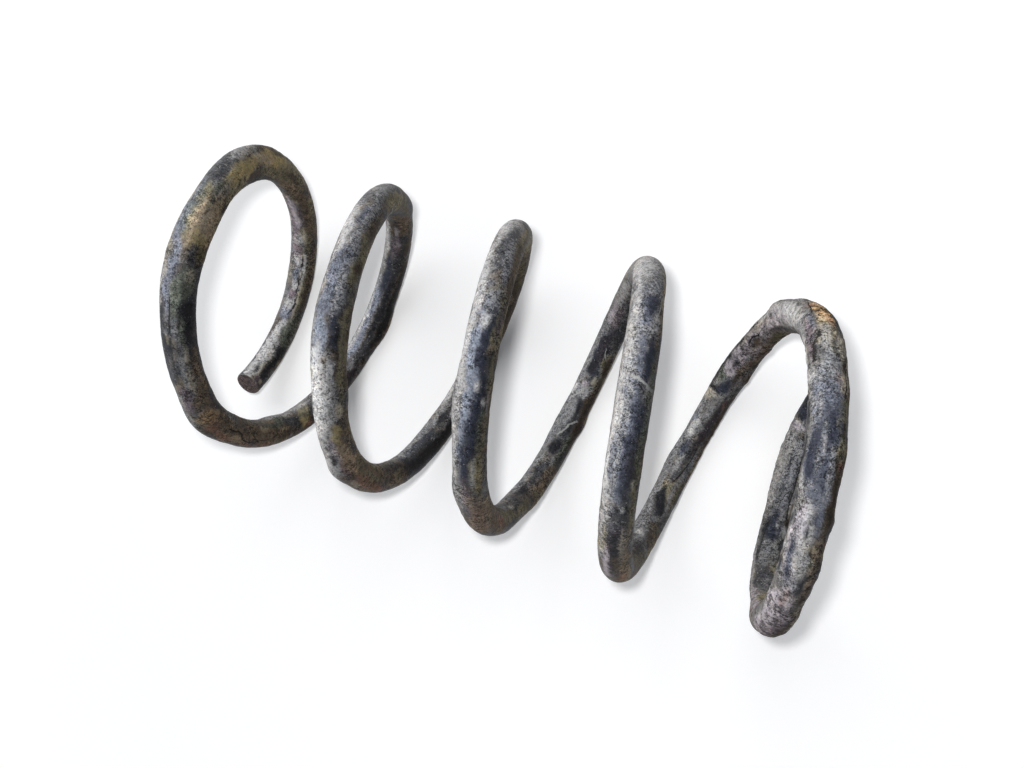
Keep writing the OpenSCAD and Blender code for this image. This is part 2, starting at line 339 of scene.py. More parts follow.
    ("white", 3.955, 172, 0.007, 12), ("umber", 3.965, 215, 0.03, 20, 0.4),
    ("grey", 4.03, 130, 0.06, 24), ("pale", 4.04, 215, 0.035, 12), ("olive", 4.05, 228, 0.03, 12),
    ("green", 3.977, 232, 0.006, 8), ("black", 4.013, 190, 0.014, 18), ("black", 4.027, 171, 0.024, 20),
    ("tan", 4.056, 165, 0.004, 16, 0.6), ("mixed", 4.078, 175, 0.02, 22, 0.8),
    ("dark", 4.066, 181, 0.012, 11), ("black", 4.072, 199, 0.008, 5),
    # last open turn, thickly crusted from here on
    ("grey", 4.13, 118, 0.08, 26), ("blue", 4.155, 125, 0.006, 16, 0.7), ("pale", 4.09, 165, 0.015, 14),
    ("slate", 4.107, 156, 0.012, 17), ("white", 4.142, 152, 0.016, 16, 0.8),
    ("navy", 4.112, 160, 0.012, 22, 0.8), ("dark", 4.105, 190, 0.02, 12), ("black", 4.1, 208, 0.015, 5),
    ("grey", 4.09, 222, 0.03, 16), ("plum", 4.155, 200, 0.055, 14), ("grey", 4.168, 174, 0.01, 8),
    ("umber", 4.16, 230, 0.04, 14), ("red", 4.186, 210, 0.006, 12, 0.5),
    ("cream", 4.19, 125, 0.011, 32, 0.6), ("black", 4.202, 125, 0.004, 45),
    ("navy", 4.216, 160, 0.016, 26), ("green", 4.225, 118, 0.011, 28),
    ("mixed", 4.225, 150, 0.008, 10, 0.5), ("lilac", 4.258, 140, 0.022, 34),
    ("navy", 4.252, 145, 0.005, 12), ("plum", 4.25, 152, 0.008, 10), ("plum", 4.235, 190, 0.02, 9),
    ("umber", 4.24, 187, 0.01, 12), ("green", 4.276, 102, 0.006, 18), ("lilac", 4.31, 112, 0.035, 26),
    ("pale", 4.305, 105, 0.03, 18, 0.6), ("white", 4.335, 86, 0.025, 12, 0.8),
    ("tan", 4.31, 102, 0.035, 24, 0.35), ("black", 4.217, 90, 0.011, 14),
    ("black", 4.247, 90, 0.009, 16), ("black", 4.276, 88, 0.011, 16), ("black", 4.301, 84, 0.008, 13),
    ("brown", 4.3, 195, 0.06, 30), ("mauve", 4.295, 172, 0.04, 30, 0.5),
    ("lilac", 4.3, 165, 0.035, 26, 0.3), ("moss", 4.345, 192, 0.03, 16), ("grey", 4.272, 176, 0.008, 8),
    ("umber", 4.305, 160, 0.014, 12), ("soil", 4.262, 232, 0.01, 10), ("lilac", 4.355, 138, 0.025, 16),
    ("mauve", 4.285, 148, 0.012, 9), ("plum", 4.372, 160, 0.03, 9), ("plum", 4.345, 150, 0.006, 5),
    # last ring, over its top
    ("pale", 4.4, 95, 0.05, 38), ("lilac", 4.38, 100, 0.035, 25, 0.5),
    ("white", 4.42, 75, 0.03, 28, 0.4), ("grey", 4.47, 105, 0.03, 16), ("mauve", 4.485, 66, 0.022, 18),
    ("slate", 4.47, 50, 0.012, 8), ("white", 4.505, 106, 0.03, 8, 0.9), ("tan", 4.465, 5, 0.04, 22),
    ("rust", 4.45, 14, 0.018, 14, 0.75), ("rust", 4.462, 352, 0.018, 13), ("red", 4.438, 26, 0.006, 8),
    ("soil", 4.44, 27, 0.003, 4), ("soil", 4.455, 34, 0.004, 4), ("red", 4.475, 352, 0.008, 8, 0.7),
    ("soil", 4.478, 328, 0.009, 7), ("olive", 4.5, 10, 0.026, 20, 0.7),
    ("pale", 4.5, 14, 0.018, 16, 0.6), ("pale", 4.515, 22, 0.008, 14),
    ("cream", 4.503, 42, 0.005, 7, 0.8), ("mauve", 4.51, 70, 0.014, 11),
    ("mixed", 4.545, 15, 0.02, 45, 0.8), ("pale", 4.538, 82, 0.009, 20),
    ("cream", 4.525, 325, 0.035, 18, 0.7), ("soil", 4.532, 328, 0.006, 10),
    ("tan", 4.552, 340, 0.012, 9), ("red", 4.545, 352, 0.005, 5, 0.5), ("olive", 4.575, 325, 0.022, 18),
    ("soil", 4.588, 325, 0.009, 12), ("grey", 4.532, 28, 0.016, 26),
    # and down its front
    ("slate", 4.6, 22, 0.055, 55), ("navy", 4.604, 15, 0.04, 46, 0.7), ("mixed", 4.562, 42, 0.006, 5),
    ("mixed", 4.574, 52, 0.008, 4), ("navy", 4.612, 45, 0.028, 18), ("mixed", 4.59, 20, 0.01, 6, 0.8),
    ("pale", 4.572, 36, 0.008, 4, 0.8), ("mixed", 4.615, 26, 0.008, 5, 0.7),
    ("pale", 4.604, 14, 0.006, 3, 0.7), ("mixed", 4.625, 345, 0.026, 9),
    ("mixed", 4.635, 38, 0.004, 14, 0.7), ("black", 4.572, 94, 0.015, 15),
    ("navy", 4.59, 350, 0.012, 10), ("umber", 4.64, 320, 0.045, 16), ("olive", 4.605, 318, 0.01, 14),
    ("soil", 4.65, 318, 0.02, 7), ("brown", 4.71, 322, 0.035, 16), ("red", 4.616, 316, 0.004, 8),
    ("soil", 4.742, 326, 0.008, 9), ("cream", 4.775, 318, 0.03, 13, 0.8), ("pale", 4.68, 12, 0.036, 30),
    ("lilac", 4.69, 45, 0.035, 30, 0.6), ("slate", 4.645, 12, 0.01, 12), ("black", 4.674, 12, 0.008, 6),
    ("navy", 4.662, 355, 0.008, 12), ("slate", 4.703, 42, 0.02, 14), ("navy", 4.693, 45, 0.006, 9),
    ("navy", 4.708, 48, 0.004, 6), ("navy", 4.716, 42, 0.005, 9), ("black", 4.72, 350, 0.014, 7),
    ("soil", 4.693, 348, 0.007, 5), ("slate", 4.66, 350, 0.018, 7), ("pale", 4.703, 354, 0.01, 6),
    ("grey", 4.726, 22, 0.01, 22), ("black", 4.608, 94, 0.013, 15), ("black", 4.648, 91, 0.006, 14),
    ("black", 4.671, 90, 0.005, 14), ("black", 4.714, 90, 0.009, 14), ("pale", 4.635, 76, 0.009, 12),
    ("pale", 4.69, 80, 0.012, 9), ("lilac", 4.79, 30, 0.06, 52, 0.75), ("mauve", 4.8, 0, 0.03, 16),
    ("red", 4.742, 22, 0.012, 10, 0.5), ("plum", 4.745, 28, 0.003, 4), ("plum", 4.755, 16, 0.003, 3),
    ("plum", 4.78, 8, 0.004, 4), ("plum", 4.8, 44, 0.003, 4), ("plum", 4.768, 50, 0.003, 3),
    ("plum", 4.815, 22, 0.003, 4), ("mauve", 4.79, 18, 0.045, 36, 0.3), ("umber", 4.8, 332, 0.03, 12),
    # right seat
    ("lilac", 4.9, 112, 0.05, 30), ("grey", 4.93, 160, 0.02, 14), ("dark", 4.95, 150, 0.028, 18),
    ("grey", 5.0, 160, 0.03, 36), ("pale", 4.97, 104, 0.05, 16), ("grey", 5.08, 186, 0.05, 16),
    ("navy", 5.046, 155, 0.025, 34), ("black", 5.003, 120, 0.02, 9), ("black", 5.035, 128, 0.02, 8),
    ("pale", 5.014, 143, 0.005, 5), ("pale", 5.047, 176, 0.008, 3), ("green", 5.0, 192, 0.03, 16, 0.7),
    ("pale", 5.0, 190, 0.025, 12, 0.4), ("white", 5.04, 213, 0.012, 10), ("dark", 5.052, 188, 0.006, 8),
    ("pale", 5.13, 114, 0.06, 32), ("dust", 5.13, 120, 0.06, 32, 0.45), ("mixed", 5.12, 168, 0.05, 24),
    ("dark", 5.085, 160, 0.012, 12, 0.6), ("dark", 5.098, 165, 0.005, 10),
    ("dark", 5.13, 155, 0.012, 6), ("dark", 5.1, 197, 0.04, 5), ("pale", 5.095, 211, 0.03, 7),
    ("soil", 5.055, 215, 0.006, 12), ("lilac", 5.186, 112, 0.006, 26), ("pale", 5.155, 170, 0.006, 5),
    ("plum", 5.17, 140, 0.003, 6), ("navy", 5.215, 120, 0.016, 45), ("black", 5.235, 110, 0.02, 60),
]

# Cracks and pale scratches: half width in millimetres, then turns and degrees along the line
cracks = [
    (0.4, (0.123, 196), (0.128, 203), (0.133, 209), (0.141, 210), (0.146, 206)),
    (0.25, (0.151, 209), (0.157, 207), (0.16, 199), (0.166, 203), (0.17, 205), (0.173, 196)),
    (0.4, (0.173, 201), (0.177, 197)), (0.2, (0.181, 208), (0.19, 210)),
    (0.4, (0.201, 206), (0.213, 204)),
    (0.4, (0.822, 282), (0.828, 280), (0.834, 272), (0.84, 273), (0.846, 284), (0.85, 294), (0.858, 298)),
    (0.3, (0.858, 298), (0.866, 298), (0.872, 290), (0.878, 288)),
    (0.15, (0.862, 262), (0.866, 271), (0.873, 281), (0.884, 280), (0.893, 276)),
    (0.45, (4.292, 137), (4.297, 132), (4.303, 130), (4.309, 133), (4.315, 139), (4.319, 137)),
    (0.12, (4.322, 136), (4.328, 128), (4.334, 130), (4.34, 126)),
    (1.2, (4.494, 34), (4.499, 41), (4.501, 47), (4.507, 56), (4.513, 57), (4.517, 60), (4.523, 61)),
    (0.25, (4.43, 26), (4.437, 31), (4.444, 30), (4.455, 36)),
    (0.3, (4.44, 341), (4.452, 336), (4.463, 334), (4.472, 330), (4.484, 327), (4.5, 319)),
    (0.22, (4.52, 318), (4.533, 324), (4.545, 321), (4.56, 326)),
    (0.3, (4.198, 90), (4.2, 110), (4.204, 128), (4.202, 150)),
    (0.8, (4.205, 92), (4.222, 95), (4.236, 92)), (0.9, (4.243, 88), (4.25, 100)),
    (0.9, (4.268, 90), (4.276, 95), (4.284, 101)), (0.6, (4.3, 92), (4.32, 89)),
    (0.25, (4.06, 188), (4.068, 194), (4.075, 200), (4.085, 202), (4.093, 208), (4.103, 209), (4.115, 206)),
    (0.35, (5.06, 206), (5.072, 202), (5.085, 200), (5.1, 203), (5.112, 199), (5.128, 196), (5.15, 190)),
    (0.22, (4.99, 122), (5.002, 126), (5.015, 127), (5.032, 133), (5.05, 142)),
    (0.18, (5.08, 158), (5.083, 168), (5.09, 172), (5.095, 180)),
    (0.15, (0.655, 355), (0.668, 352), (0.682, 354)),
]
scratches = [
    (0.5, (3.074, 168), (3.082, 180), (3.088, 184), (3.093, 190), (3.099, 208)),
    (0.25, (3.13, 130), (3.135, 148), (3.14, 165), (3.145, 185), (3.149, 206)),
    (0.22, (3.14, 148), (3.148, 168), (3.153, 185), (3.155, 200)),
    (0.6, (3.604, 304), (3.603, 318), (3.601, 332), (3.598, 345), (3.596, 12)),
    (0.2, (3.515, 318), (3.525, 320), (3.535, 326), (3.545, 335)),
    (0.25, (3.204, 196), (3.208, 189), (3.215, 185)),
    (0.3, (0.005, 200), (0.01, 208), (0.018, 214), (0.028, 212), (0.033, 202)),
]

# Swellings and hollows of the crusted bar: turns, degrees, half length, half width, millimetres
lumps = [
    (0.2, 118, 0.06, 30, 0.6), (0.46, 25, 0.06, 45, 1.7), (0.46, 205, 0.05, 40, 0.6),
    (0.4, 0, 0.04, 35, 0.9), (0.57, 235, 0.05, 40, 0.8), (0.62, 55, 0.05, 30, 0.8),
    (0.8, 20, 0.035, 40, 2.0), (0.8, 208, 0.03, 40, -0.7), (0.92, 148, 0.02, 40, 1.0),
    (1.145, 288, 0.028, 40, 1.8), (1.36, 305, 0.02, 30, 0.7), (1.63, 65, 0.04, 35, 0.9),
    (1.7, 240, 0.02, 30, 0.8), (1.8, 30, 0.02, 40, 1.3), (2.02, 112, 0.05, 30, 0.8),
    (2.27, 262, 0.07, 35, 0.6), (2.66, 75, 0.03, 30, 1.0), (2.76, 60, 0.02, 30, 0.9),
    (2.93, 298, 0.03, 40, -0.9), (2.95, 115, 0.03, 30, 0.7), (3.09, 98, 0.03, 30, 0.7),
    (3.1, 275, 0.015, 30, 0.9), (3.51, 278, 0.03, 30, -0.5), (4.09, 88, 0.03, 30, 0.9),
    (4.23, 78, 0.04, 30, 0.7), (4.23, 256, 0.03, 35, 0.7), (4.36, 52, 0.02, 35, 1.6),
    (4.4, 190, 0.04, 40, 0.9), (4.47, 310, 0.04, 35, 0.8), (4.69, 285, 0.012, 32, -0.5),
    (4.64, 285, 0.012, 28, -0.4), (4.715, 285, 0.01, 28, 0.2), (4.665, 285, 0.008, 28, 0.4),
    (4.605, 285, 0.012, 28, 0.5), (4.76, 292, 0.015, 30, -0.5), (4.92, 71, 0.03, 35, -1.2),
    (5.16, 78, 0.07, 35, 2.0),
]

wear = {
    "coarseWander": 0.0030, "fineWander": 0.0012,     # how far strokes' rims wander, metres
    "ragged": 0.55, "raggedRim": 0.35,                # how frayed the paint is, and strokes' rims
    "smallStroke": 0.004,                             # half width below which a stroke wanders less
    "rimShare": 0.16, "rimWidth": 0.0005,             # softness of a rim, as a share and in metres
    "dustAndPaintedLightLeft": 0.7, "dustAll": 0.1,                  # dust and painted light on the bar's lit left side, and dust all round
    "dustPatches": 1.2, "dustMost": 0.9,              # how it varies, and the most there is
    "faceFrom": 0.97, "faceFade": 0.04,               # where the sheared faces' colour sets in
    "lineReach": 1.6,                                 # millimetres from a line that still know it
    "lineFade": 2.0,                                  # how steeply it is lost there
    "noLine": 9.0,                                    # the distance where no line is near
    "lumpReach": 1.6,                                 # half lengths at which a lump has died out
    "relief": 0.00013, "crust": 0.00060,              # heights of the paint's waves and of crust
    "crustBase": 0.35, "crustRagged": 0.8,            # the even and the ragged part of its height
    "crustFrom": 3.9, "crustFull": 4.25,              # turns over which the thick crust sets in
}

noises = {       # waves to the metre, octaves, a shift that sets it apart, roughness
    "coarseAlong": (65.0, 3, (3.1, 0.0, 0.0), 0.5), "coarseRound": (65.0, 3, (0.0, 7.7, 0.0), 0.5),
    "fineAlong": (230.0, 3, (5.9, 1.3, 0.0), 0.5), "fineRound": (230.0, 3, (0.0, 2.2, 8.1), 0.5),
    "ragged": (420.0, 3, (4.4, 0.0, 6.2), 0.7), "broad": (28.0, 4, (0.0, 0.0, 5.3), 0.6),
    "broadWarm": (34.0, 4, (7.0, 0.0, 1.3), 0.6), "blotch": (120.0, 3, (9.0, 2.0, 0.0), 0.5),
}

metresPerTurn = math.hypot(math.pi * bar["coilAcross"], bar["usualRise"])
metresPerDegree = math.pi * bar["across"] / 360.0


def srgb(red, green, blue):
    # a colour as it is read off a screen, 0 to 255, made linear
    def linear(c):
        c = c / 255.0
        return c / 12.92 if c <= 0.04045 else ((c + 0.055) / 1.055) ** 2.4
    return (linear(red), linear(green), linear(blue), 1.0)


def noiseField(name):
    # smooth noise about 0 for every vertex, read where it lies on the finished spring, each
    # octave a finer wave than the last
    scale, octaves, shift, rough = noises[name]
    finer = 2.0
    start = Vector(shift)
    return np.array([
        noise.fractal(Vector(p) * scale + start, rough, finer, octaves) for p in plainPlace.tolist()])


coarseAlong = noiseField("coarseAlong") * wear["coarseWander"]
coarseRound = noiseField("coarseRound") * wear["coarseWander"]
fineAlong = noiseField("fineAlong") * wear["fineWander"]
fineRound = noiseField("fineRound") * wear["fineWander"]
raggedness = noiseField("ragged") * wear["ragged"]
broad = noiseField("broad")
broadWarm = noiseField("broadWarm")
blotch = noiseField("blotch")
print("noise read")


def finishValues(name):
    # colour made linear, pale specks, dark specks, crust
    red, green, blue, pale, dark, crust = finishes[name]
    return np.array([*srgb(red, green, blue)[:3], pale, dark, crust])


def plainCoat():
    # the mottled coat where no stroke reaches
    coat = np.tile(finishValues("dark"), (len(turn), 1))
    # finish, the field it follows, where on that it sets in and where it is full
    for name, field, low, high in (
            ("navy", broad, 0.0, 0.5), ("grey", -broad, 0.05, 0.5), ("brown", broadWarm, 0.05, 0.5),
            ("olive", broadWarm - broad, 0.45, 0.9), ("umber", -broadWarm, 0.2, 0.6)):
        amount = np.clip((field - low) / (high - low), 0.0, 1.0)
        coat += (finishValues(name) - coat) * amount[:, None]
    # pale dust laid heaviest on the bar's left side, the side the key lamp lights: real dust, and painted
    # light that makes the lit side paler
    dustAndPaintedLight = wear["dustAndPaintedLightLeft"] * np.sin(np.radians(around)) + wear["dustAll"] + wear["dustPatches"] * broad
    coat += (finishValues("dust") - coat) * np.clip(dustAndPaintedLight, 0.0, wear["dustMost"])[:, None]
    return coat


def shortTurn(degrees):
    # the same angle round the bar, taken the short way: -180 to 180
    return (degrees + 180.0) % 360.0 - 180.0


def strokeWeight(t, u, halfTurns, halfDegrees):
    # 1 inside the stroke to 0 outside it, with a frayed rim; small strokes wander less
    halfLength, halfWidth = halfTurns * metresPerTurn, halfDegrees * metresPerDegree
    smaller = min(halfLength, halfWidth)
    share = min(1.0, smaller / wear["smallStroke"])
    along = (turn - t) * metresPerTurn + coarseAlong * share + fineAlong * math.sqrt(share)
    off = shortTurn(around - u) * metresPerDegree
    off = off + coarseRound * share + fineRound * math.sqrt(share)
    reach = np.hypot(along / halfLength, off / halfWidth)
    soft = wear["rimShare"] + wear["rimWidth"] / smaller
    rim = (1.0 - reach + raggedness * wear["raggedRim"]) / (2.0 * soft)
    weight = np.clip(0.5 + rim, 0.0, 1.0)
    return weight * weight * (3.0 - 2.0 * weight)


def paintedCoat():
    coat = plainCoat()
    for name, t, u, halfTurns, halfDegrees, *strength in strokes:
        weight = strokeWeight(t, u, halfTurns, halfDegrees) * (strength[0] if strength else 1.0)
        coat += (finishValues(name) - coat) * weight[:, None]
    onFace = np.clip((wear["faceFrom"] - radius / barRadius) / wear["faceFade"], 0.0, 1.0)
    coat += (finishValues("sheared") - coat) * onFace[:, None]
    return coat


def lineFields(lines):
    # signed distance to the nearest line in half widths, and 1 near a line to 0 away from it
    side = np.full(len(turn), wear["noLine"])
    nearest = np.full(len(turn), wear["noLine"])
    for halfWidth, *points in lines:
        for (t0, u0), (t1, u1) in zip(points, points[1:]):
            x = (turn - t0) * metresPerTurn * 1000.0
            y = shortTurn(around - u0) * metresPerDegree * 1000.0
            dx = (t1 - t0) * metresPerTurn * 1000.0
            dy = shortTurn(u1 - u0) * metresPerDegree * 1000.0
            length = math.hypot(dx, dy)
            share = np.clip((x * dx + y * dy) / length ** 2, 0.0, 1.0)
            distance = np.hypot(x - share * dx, y - share * dy)
            closer = distance < nearest
            lateral = (x * dy - y * dx) / length
            side = np.where(closer, lateral / halfWidth, side)
            nearest = np.where(closer, distance, nearest)
    reach = np.clip(wear["lineFade"] * (1.0 - nearest / wear["lineReach"]), 0.0, 1.0)
    return np.clip(side, -wear["noLine"], wear["noLine"]), reach


def swollen():
    # height of the lumps and hollows at every vertex, metres
    swelling = np.zeros_like(turn)
    for t, u, halfTurns, halfDegrees, height in lumps:
        away = np.hypot((turn - t) / halfTurns, shortTurn(around - u) / halfDegrees)
        fading = np.clip(away / wear["lumpReach"], 0.0, 1.0)
        swelling += height / 1000.0 * (0.5 + 0.5 * np.cos(math.pi * fading))
    return swelling


coat = paintedCoat()
paleSpecks, darkSpecks, dirt = coat[:, 3:].T
print("strokes painted:", len(strokes))
thickening = (turn - wear["crustFrom"]) / (wear["crustFull"] - wear["crustFrom"])
crust = dirt * np.clip(thickening, 0.0, 1.0)
crustWaves = wear["crustBase"] + blotch + wear["crustRagged"] * raggedness
relief = swollen() + wear["relief"] * (blotch + raggedness) + wear["crust"] * crust * crustWaves
onTheTip = np.clip(radius / barRadius, 0.0, 1.0)
place = placeOnCoil(turn, around, radius + relief * onTheTip)
for axis in range(3):
    place[:, axis] = np.clip(place[:, axis], lowCorner[axis], highCorner[axis])
mesh.vertices.foreach_set("co", place.ravel())

tone = np.concatenate([coat[:, :3], np.ones((len(turn), 1))], 1).astype(np.float32)
mesh.attributes.new("tone", "FLOAT_COLOR", "POINT").data.foreach_set("color", tone.ravel())
crackSide, crackReach = lineFields(cracks)
scratchSide, scratchReach = lineFields(scratches)
for name, field in (
        ("paleSpecks", paleSpecks), ("darkSpecks", darkSpecks), ("crust", (dirt + crust) / 2),
        ("crackSide", crackSide), ("crackReach", crackReach),
        ("scratchSide", scratchSide), ("scratchReach", scratchReach)):
    mesh.attributes.new(name, "FLOAT", "POINT").data.foreach_set("value", field.astype(np.float32))
mesh.polygons.foreach_set("use_smooth", np.ones(len(mesh.polygons), bool))
mesh.update()
print("bar shaped and painted")


# Finishes

paint = {
    # colours laid over the paint, and how well each covers it
    "paleSpeck": (srgb(196, 195, 192), 0.65), "darkSpeck": (srgb(38, 38, 42), 0.70),
    "scratch": (srgb(186, 186, 183), 0.80), "crack": (srgb(30, 28, 27), 0.90),
    "warm": (1.08, 1.0, 0.90, 1.0), "cool": (0.95, 0.99, 1.06, 1.0),    # tints of the mottling
    # noises: waves to the metre, detail and roughness
    "fine": (1500.0, 2.0, 0.70), "middle": (650.0, 3.0, 0.80), "wide": (260.0, 4.0, 0.75),
    "patchy": (100.0, 2.0, 0.60), "scab": (330.0, 3.0, 0.70), "flake": (480.0, 5.0, 0.85),
    # specks: waves to the metre, grit and softness, then the detail and roughness of their grit
    "paleSpecks": (850.0, 2.2, 0.07), "darkSpecks": (900.0, 2.2, 0.07), "grit": (3.0, 0.85),
    # changes: where each begins and ends on the field that it follows, and its values there
    "scabRim": ((0.46, 0.54), (0.0, 1.0)), "flakeRim": ((0.43, 0.57), (0.0, 1.0)),
    "warming": ((0.38, 0.62), (0.0, 0.35)), "cooling": ((0.62, 0.38), (0.0, 0.35)),
    "graining": ((0.35, 0.65), (1.6, 4.4)), "flaking": ((0.40, 0.60), (0.35, 1.05)),
    "scabbing": ((0.2, 0.6), (0.12, 0.95)), "scabHeight": ((0.1, 0.6), (0.05, 0.8)),
    "darkTones": ((0.03, 0.11), (0.85, 1.20)), "paleTones": ((0.22, 0.50), (1.0, 0.38)),
    "lineWobble": ((0.3, 0.7), (-1.1, 1.1)), "lineRim": ((0.7, 1.2), (1.0, 0.0)),
    "roughness": ((0.0, 0.5), (0.52, 0.85)), "bumpShare": ((0.0, 0.6), (0.5, 1.5)),
    "clouding": 1.2, "darkest": 0.2, "specular": 0.10,
    # heights as shares of the bump's depth, and that depth in metres
    "middleHeight": 0.9, "fineHeight": 0.35, "paleHeight": 0.18, "darkHeight": 0.25,
    "scratchHeight": 0.2, "bumpStrength": 0.8, "bumpDepth": 0.0004,
}


def addNode(tree, kind, place, inputs=None, **settings):
    # a new node, each of its sockets set to a value or linked to another node's output
    node = tree.nodes.new(kind)
    node.location = place
    for key, value in settings.items():
        setattr(node, key, value)
    for socket, value in (inputs or {}).items():
        if isinstance(value, bpy.types.NodeSocket):
            tree.links.new(value, node.inputs[socket])
        else:
            node.inputs[socket].default_value = value
    return node


def mathOf(tree, operation, a, b, place=(-500, -200)):
    return addNode(tree, "ShaderNodeMath", place, {0: a, 1: b}, operation=operation).outputs[0]


def rangeOf(tree, value, rim, out, kind="SMOOTHSTEP", place=(0, -300)):
    # a value that goes from one end of rim to the other, made to go over out
    inputs = dict(zip(("Value", "From Min", "From Max", "To Min", "To Max"), (value,) + rim + out))
    node = addNode(tree, "ShaderNodeMapRange", place, inputs, interpolation_type=kind)
    return node.outputs["Result"]


def emptyMaterial(name):
    material = bpy.data.materials.new(name)
    material.use_nodes = True
    material.node_tree.nodes.clear()
    return material, material.node_tree


def flecksGroup():
    # breaks a soft mask into flecks and ragged edges, about its halfway value
    group = bpy.data.node_groups.new("flecks", "ShaderNodeTree")
    face = group.interface
    face.new_socket("Vector", in_out="INPUT", socket_type="NodeSocketVector")
    for label, default in (("Mask", 0.5), ("Scale", 500.0), ("Grit", 1.0), ("Softness", 0.15)):
        face.new_socket(label, in_out="INPUT", socket_type="NodeSocketFloat").default_value = default
    face.new_socket("Mask", in_out="OUTPUT", socket_type="NodeSocketFloat")
    given = addNode(group, "NodeGroupInput", (-800, 0)).outputs
    detail, rough = paint["grit"]
    halfway = 0.5
    grain = addNode(group, "ShaderNodeTexNoise", (-600, -200), {
        "Vector": given["Vector"], "Scale": given["Scale"], "Detail": detail, "Roughness": rough})
    centred = mathOf(group, "SUBTRACT", grain.outputs["Fac"], halfway, (-400, -200))
    gritty = mathOf(group, "MULTIPLY", centred, given["Grit"], (-200, -200))
    total = mathOf(group, "ADD", given["Mask"], gritty, (0, 0))
    low = mathOf(group, "SUBTRACT", halfway, given["Softness"], (0, -200))
    high = mathOf(group, "ADD", halfway, given["Softness"], (0, -350))
    mask = rangeOf(group, total, (low, high), (0.0, 1.0), place=(250, 0))
    addNode(group, "NodeGroupOutput", (600, 0), {"Mask": mask})
    return group


flecks = flecksGroup()


def oldPaintMaterial():
    material, tree = emptyMaterial("oldPaint")
    place = addNode(tree, "ShaderNodeTexCoord", (-1400, 0)).outputs["Object"]

    def noiseOf(name):
        scale, detail, rough = paint[name]
        node = addNode(tree, "ShaderNodeTexNoise", (-1100, 0), {
            "Vector": place, "Scale": scale, "Detail": detail, "Roughness": rough})
        return node.outputs["Fac"]

    def attribute(name, output="Fac"):
        return addNode(tree, "ShaderNodeAttribute", (-1100, -300), attribute_name=name).outputs[output]

    def plus(a, b):
        return mathOf(tree, "ADD", a, b)

    def minus(a, b):
        return mathOf(tree, "SUBTRACT", a, b)

    def times(a, b):
        return mathOf(tree, "MULTIPLY", a, b)

    def spread(value, name, kind="SMOOTHSTEP"):
        return rangeOf(tree, value, *paint[name], kind)

    def swing(value, amount):
        # a noise about its middle, times an amount
        return times(minus(value, 0.5), amount)

    def specks(name):
        scale, grit, softness = paint[name]
        node = addNode(tree, "ShaderNodeGroup", (-700, 0), {
            "Vector": place, "Mask": attribute(name), "Scale": scale, "Grit": grit,
            "Softness": softness}, node_tree=flecks)
        return node.outputs["Mask"]

    def line(sideName, reachName, wobble):
        # the middle of a crack or scratch, its rims set wandering
        side = plus(attribute(sideName), spread(wobble, "lineWobble", "LINEAR"))
        across = mathOf(tree, "ABSOLUTE", side, 0.0)
        return times(spread(across, "lineRim"), attribute(reachName))

    def mixed(factor, a, b, blend="MIX"):
        node = addNode(
            tree, "ShaderNodeMix", (200, 0), {0: factor, 6: a, 7: b}, data_type="RGBA", blend_type=blend)
        return node.outputs[2]

    def covered(colour, mask, name):
        laid, cover = paint[name]
        return mixed(times(mask, cover), colour, laid)

    fine = noiseOf("fine")
    middle = noiseOf("middle")
    wide = noiseOf("wide")
    patchy = noiseOf("patchy")
    scabs = spread(noiseOf("scab"), "scabRim")
    flakes = spread(noiseOf("flake"), "flakeRim")
    crust = attribute("crust")
    paleSpecks = specks("paleSpecks")
    darkSpecks = specks("darkSpecks")
    crackLine = line("crackSide", "crackReach", middle)
    scratchLine = line("scratchSide", "scratchReach", middle)

    # the painted tone, tinted warm and cool
    colour = mixed(spread(wide, "warming"), attribute("tone", "Color"), paint["warm"], "MULTIPLY")
    colour = mixed(spread(wide, "cooling"), colour, paint["cool"], "MULTIPLY")

    # made uneven by grain, flakes, clouds and scabs, least where it is pale
    grain = swing(fine, spread(patchy, "graining"))
    flaked = swing(flakes, spread(patchy, "flaking"))
    clouded = swing(wide, paint["clouding"])
    scabbed = swing(scabs, spread(crust, "scabbing"))
    unevenness = plus(plus(grain, flaked), plus(clouded, scabbed))
    mixing = times(spread(attribute("tone"), "darkTones"), spread(attribute("tone"), "paleTones"))
    shade = mathOf(tree, "MAXIMUM", plus(times(unevenness, mixing), 1.0), paint["darkest"])
    shaded = addNode(
        tree, "ShaderNodeVectorMath", (400, 0), {0: colour, "Scale": shade}, operation="SCALE")

    # specks, scratches and cracks over it
    colour = covered(shaded.outputs[0], paleSpecks, "paleSpeck")
    colour = covered(colour, darkSpecks, "darkSpeck")
    colour = covered(colour, scratchLine, "scratch")
    colour = covered(colour, crackLine, "crack")

    # heights of the same things
    height = plus(times(middle, paint["middleHeight"]), times(fine, paint["fineHeight"]))
    height = times(height, spread(crust, "bumpShare"))
    height = plus(height, times(paleSpecks, paint["paleHeight"]))
    height = plus(height, times(scabs, spread(crust, "scabHeight")))
    height = minus(height, times(darkSpecks, paint["darkHeight"]))
    height = plus(height, times(scratchLine, paint["scratchHeight"]))
    height = minus(height, crackLine)
    bump = addNode(tree, "ShaderNodeBump", (1000, -400), {
        "Strength": paint["bumpStrength"], "Distance": paint["bumpDepth"], "Height": height})
    shader = addNode(tree, "ShaderNodeBsdfPrincipled", (1300, 0), {
        "Specular IOR Level": paint["specular"], "Base Color": colour,
        "Roughness": spread(crust, "roughness"), "Normal": bump.outputs["Normal"]})
    addNode(tree, "ShaderNodeOutputMaterial", (1600, 0), {0: shader.outputs[0]})
    return material


mesh.materials.append(oldPaintMaterial())
spring = bpy.data.objects.new("springBar", mesh)
bpy.context.scene.collection.objects.link(spring)
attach(spring, "root")
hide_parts("coil_spring")
print("spring finished:", len(mesh.polygons), "faces")


# Floor, light and camera

